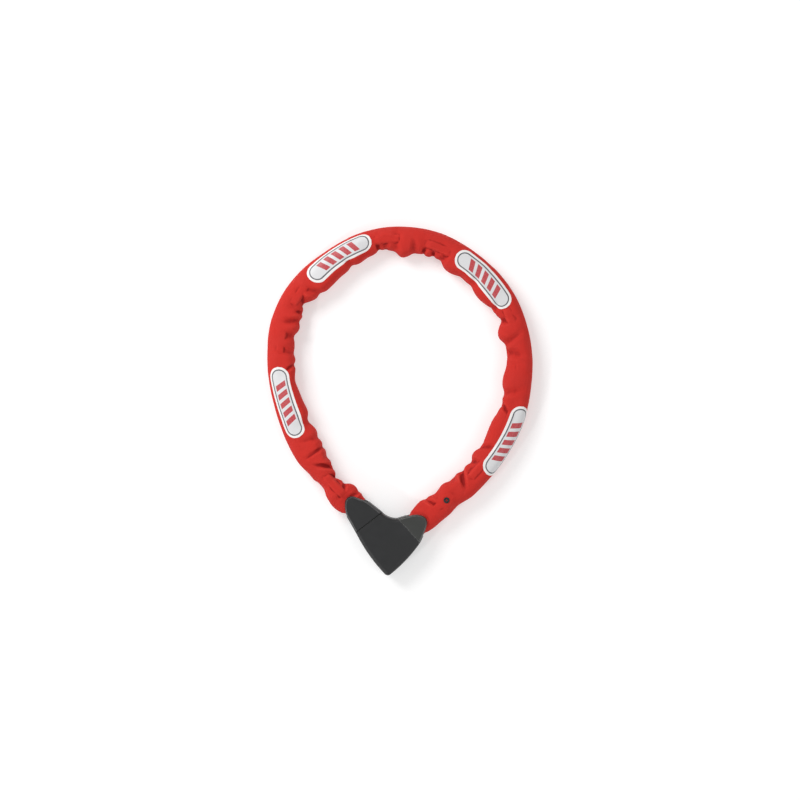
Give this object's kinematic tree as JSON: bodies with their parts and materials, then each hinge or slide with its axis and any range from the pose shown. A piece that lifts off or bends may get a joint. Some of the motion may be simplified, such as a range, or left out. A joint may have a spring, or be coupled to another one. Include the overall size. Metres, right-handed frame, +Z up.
{
  "type": "chain lock",
  "caption": "Closed chain lock: a V-shaped keyed lock body with a plug joins both ends of a square-link chain in a red textile sleeve.",
  "frame": {"origin": "on the surface the lock lies on, under the crossing of the axes of the two legs of the V-shaped lock body", "axes": "+Z up out of the lock's front face, +Y from the lock body through the loop, +X to the right with the anchor leg"},
  "size_m": [0.2682, 0.3502, 0.0257],
  "materials": {
    "body_plastic": "matte",
    "cap_plastic": "matte",
    "keyhole_plastic": "satin",
    "steel": "satin",
    "chain_steel": "satin",
    "brass": "satin",
    "sleeve_fabric": "woven",
    "reflective_patch": "satin",
    "eyelet_metal": "satin"
  },
  "bodies": {
    "lock_body": {"front_cover": "body_plastic", "back_cover": "body_plastic", "cover_screws": "steel", "lock_case": "steel", "case_plate": "steel", "case_plate_screws": "steel", "anchor_pin": "steel", "end_cap_front": "cap_plastic", "end_cap_back": "cap_plastic", "cylinder_housing": "brass", "cylinder_pin": "steel", "keyhole_frame": "keyhole_plastic"},
    "cylinder": {"cylinder_core": "brass", "code_discs": "brass", "disc_spacers": "brass", "sidebar": "steel", "drive_cam": "steel"},
    "bolt": {"locking_bolt": "steel"},
    "keyhole_slider": {"keyhole_cover": "keyhole_plastic"},
    "plug": {"plug_stem": "steel", "plug_pin": "steel", "plug_cap_front": "body_plastic", "plug_cap_back": "body_plastic", "plug_cap_screws": "steel"},
    "chain_01": {"sleeve_01": "sleeve_fabric", "chain_links_01": "chain_steel", "sleeve_rivet": "eyelet_metal"},
    "chain_02": {"sleeve_02": "sleeve_fabric", "chain_links_02": "chain_steel"},
    "chain_03": {"sleeve_03": "sleeve_fabric", "chain_links_03": "chain_steel"},
    "chain_04": {"sleeve_04": "sleeve_fabric", "chain_links_04": "chain_steel"},
    "chain_05": {"sleeve_05": "sleeve_fabric", "chain_links_05": "chain_steel"},
    "chain_06": {"sleeve_06": "sleeve_fabric", "chain_links_06": "chain_steel"},
    "chain_07": {"sleeve_07": "sleeve_fabric", "chain_links_07": "chain_steel"},
    "chain_08": {"sleeve_08": "sleeve_fabric", "chain_links_08": "chain_steel"},
    "chain_09": {"sleeve_09": "sleeve_fabric", "chain_links_09": "chain_steel"},
    "chain_10": {"sleeve_10": "sleeve_fabric", "chain_links_10": "chain_steel"},
    "chain_11": {"sleeve_11": "sleeve_fabric", "chain_links_11": "chain_steel"},
    "chain_12": {"sleeve_12": "sleeve_fabric", "chain_links_12": "chain_steel"},
    "chain_13": {"sleeve_13": "sleeve_fabric", "chain_links_13": "chain_steel"},
    "chain_14": {"sleeve_14": "sleeve_fabric", "chain_links_14": "chain_steel"},
    "chain_15": {"sleeve_15": "sleeve_fabric", "chain_links_15": "chain_steel"}
  },
  "joints": [
    {"name": "core_turn", "type": "hinge", "parent": "lock_body", "child": "cylinder", "pos_m": [0, 0, 0.0125], "axis": [-0.6088, 0.7934, 0], "range_deg": [0, 90]},
    {"name": "bolt_slide", "type": "slide", "parent": "lock_body", "child": "bolt", "axis": [0.7934, 0.6088, 0], "range_m": [0, 0.0024]},
    {"name": "keyhole_cover_slide", "type": "slide", "parent": "lock_body", "child": "keyhole_slider", "axis": [-0.7934, -0.6088, 0], "range_m": [0, 0.0075]},
    {"name": "plug_slide", "type": "slide", "parent": "lock_body", "child": "plug", "axis": [-0.6088, 0.7934, 0], "range_m": [0, 0.032]},
    {"name": "chain_bend_01", "type": "hinge", "parent": "lock_body", "child": "chain_01", "pos_m": [0.02231, 0.0208, 0.0125], "axis": [0, 0, 1], "range_deg": [0, 5.11]},
    {"name": "chain_bend_02", "type": "hinge", "parent": "chain_01", "child": "chain_02", "pos_m": [0.06069, 0.05332, 0.0125], "axis": [0, 0, 1], "range_deg": [-1.37, 1.37]},
    {"name": "chain_bend_03", "type": "hinge", "parent": "chain_02", "child": "chain_03", "pos_m": [0.09694, 0.09123, 0.0125], "axis": [0, 0, 1], "range_deg": [-1.26, 0]},
    {"name": "loop_flex", "type": "hinge", "parent": "chain_03", "child": "chain_04", "pos_m": [0.12183, 0.13726, 0.0125], "axis": [0, 0, 1], "range_deg": [-5.39, 5.39]},
    {"name": "chain_bend_05", "type": "hinge", "parent": "chain_04", "child": "chain_05", "pos_m": [0.1292, 0.18909, 0.0125], "axis": [0, 0, 1], "range_deg": [-4.19, 0]},
    {"name": "chain_bend_06", "type": "hinge", "parent": "chain_05", "child": "chain_06", "pos_m": [0.11595, 0.2394, 0.0125], "axis": [0, 0, 1], "range_deg": [-4.35, 4.35]},
    {"name": "chain_bend_07", "type": "hinge", "parent": "chain_06", "child": "chain_07", "pos_m": [0.08249, 0.27969, 0.0125], "axis": [0, 0, 1], "range_deg": [-3.52, 0]},
    {"name": "chain_bend_08", "type": "hinge", "parent": "chain_07", "child": "chain_08", "pos_m": [0.03703, 0.30539, 0.0125], "axis": [0, 0, 1], "range_deg": [-1.56, 1.56]},
    {"name": "chain_bend_09", "type": "hinge", "parent": "chain_08", "child": "chain_09", "pos_m": [-0.01495, 0.30819, 0.0125], "axis": [0, 0, 1], "range_deg": [-1.6, 0]},
    {"name": "chain_bend_10", "type": "hinge", "parent": "chain_09", "child": "chain_10", "pos_m": [-0.06176, 0.28509, 0.0125], "axis": [0, 0, 1], "range_deg": [-2.99, 2.99]},
    {"name": "chain_bend_11", "type": "hinge", "parent": "chain_10", "child": "chain_11", "pos_m": [-0.09596, 0.24555, 0.0125], "axis": [0, 0, 1], "range_deg": [0, 2.06]},
    {"name": "chain_bend_12", "type": "hinge", "parent": "chain_11", "child": "chain_12", "pos_m": [-0.1099, 0.1953, 0.0125], "axis": [0, 0, 1], "range_deg": [-5.84, 5.84]},
    {"name": "chain_bend_13", "type": "hinge", "parent": "chain_12", "child": "chain_13", "pos_m": [-0.10204, 0.14359, 0.0125], "axis": [0, 0, 1], "range_deg": [0, 5.2]},
    {"name": "chain_bend_14", "type": "hinge", "parent": "chain_13", "child": "chain_14", "pos_m": [-0.08053, 0.09574, 0.0125], "axis": [0, 0, 1], "range_deg": [-4.08, 4.08]},
    {"name": "chain_bend_15", "type": "hinge", "parent": "chain_14", "child": "chain_15", "pos_m": [-0.04713, 0.05558, 0.0125], "axis": [0, 0, 1], "range_deg": [-1.8, 0]}
  ],
  "couplings": [
    {"joint": "bolt_slide", "follows": "core_turn", "m_per_rad": 0.0015279},
    {"joint": "chain_bend_01", "follows": "plug_slide", "rad_per_m": 2.7867},
    {"joint": "chain_bend_02", "follows": "loop_flex", "ratio": -0.25394},
    {"joint": "chain_bend_03", "follows": "plug_slide", "rad_per_m": -0.68414},
    {"joint": "chain_bend_05", "follows": "plug_slide", "rad_per_m": -2.2867},
    {"joint": "chain_bend_06", "follows": "loop_flex", "ratio": -0.8062},
    {"joint": "chain_bend_07", "follows": "plug_slide", "rad_per_m": -1.9182},
    {"joint": "chain_bend_08", "follows": "loop_flex", "ratio": 0.28877},
    {"joint": "chain_bend_09", "follows": "plug_slide", "rad_per_m": -0.87267},
    {"joint": "chain_bend_10", "follows": "loop_flex", "ratio": -0.55417},
    {"joint": "chain_bend_11", "follows": "plug_slide", "rad_per_m": 1.1228},
    {"joint": "chain_bend_12", "follows": "loop_flex", "ratio": 1.082},
    {"joint": "chain_bend_13", "follows": "plug_slide", "rad_per_m": 2.8336},
    {"joint": "chain_bend_14", "follows": "loop_flex", "ratio": -0.75629},
    {"joint": "chain_bend_15", "follows": "plug_slide", "rad_per_m": -0.98175}
  ]
}
